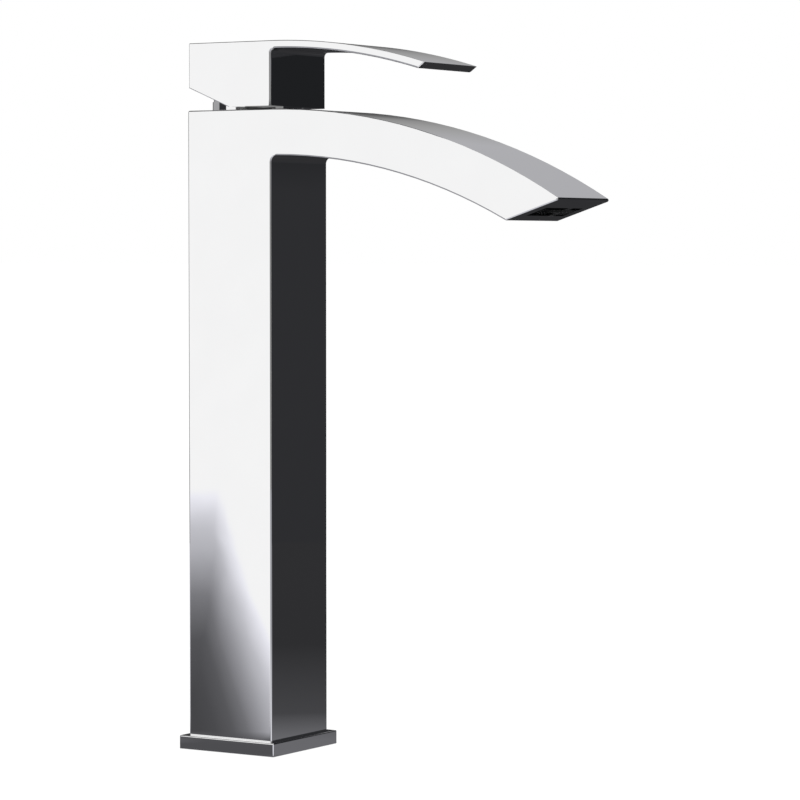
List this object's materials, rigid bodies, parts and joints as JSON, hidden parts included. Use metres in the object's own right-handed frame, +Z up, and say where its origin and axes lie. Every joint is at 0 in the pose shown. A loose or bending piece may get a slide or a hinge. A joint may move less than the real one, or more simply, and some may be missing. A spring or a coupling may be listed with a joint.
{
  "type": "tall basin faucet",
  "caption": "Tall single-lever basin faucet: square column, flat spout curving down to a sloping outlet slot, and a block handle with a blade lever that mixes and shuts off the water.",
  "frame": {"origin": "middle of the base on the deck surface", "axes": "+Z up along the column, the spout and the lever point to -Y, the hot inlet is at -X and the cold inlet at +X"},
  "size_m": [0.0514, 0.1938, 0.3175],
  "materials": {
    "chrome_plated_brass": "polished mirror",
    "plain_brass": "machined",
    "copper_tube": "drawn",
    "stainless_steel": "machined",
    "black_rubber": "matte",
    "dark_plastic": "moulded",
    "cartridge_plastic": "moulded",
    "red_plastic": "moulded",
    "ceramic": "lapped"
  },
  "bodies": {
    "faucet_body": {"body_shell": "chrome_plated_brass", "base_flange": "chrome_plated_brass", "base_gasket": "black_rubber", "foot_block": "plain_brass", "foot_screws": "stainless_steel", "hot_riser": "copper_tube", "cold_riser": "copper_tube", "riser_seals": "black_rubber", "outlet_frame": "dark_plastic", "flow_straightener": "dark_plastic", "outlet_seal": "black_rubber", "cartridge_base": "cartridge_plastic", "cartridge_seals": "black_rubber", "fixed_disc": "ceramic", "cartridge_housing": "cartridge_plastic", "temperature_limit_ring": "red_plastic", "retaining_nut": "plain_brass", "cover_ring": "chrome_plated_brass", "cover_seal": "black_rubber"},
    "mixer_turret": {"spindle_turret": "cartridge_plastic", "spindle_pin": "stainless_steel"},
    "disc_slider": {"disc_carrier": "cartridge_plastic", "moving_disc": "ceramic"},
    "lever": {"lever_handle": "chrome_plated_brass", "spindle": "stainless_steel", "spindle_adapter": "cartridge_plastic", "set_screw": "stainless_steel", "screw_cap": "chrome_plated_brass"}
  },
  "joints": [
    {"name": "handle_swivel", "type": "hinge", "parent": "faucet_body", "child": "mixer_turret", "pos_m": [0, 0, 0.2914], "axis": [0, 0, 1], "range_deg": [-50, 50]},
    {"name": "handle_lift", "type": "hinge", "parent": "mixer_turret", "child": "lever", "pos_m": [0, 0, 0.2914], "axis": [-1, 0, 0], "range_deg": [0, 22]},
    {"name": "disc_slide", "type": "slide", "parent": "mixer_turret", "child": "disc_slider", "axis": [0, -1, 0], "range_m": [0, 0.0032]}
  ],
  "couplings": [
    {"joint": "disc_slide", "follows": "handle_lift", "m_per_rad": 0.0083}
  ]
}
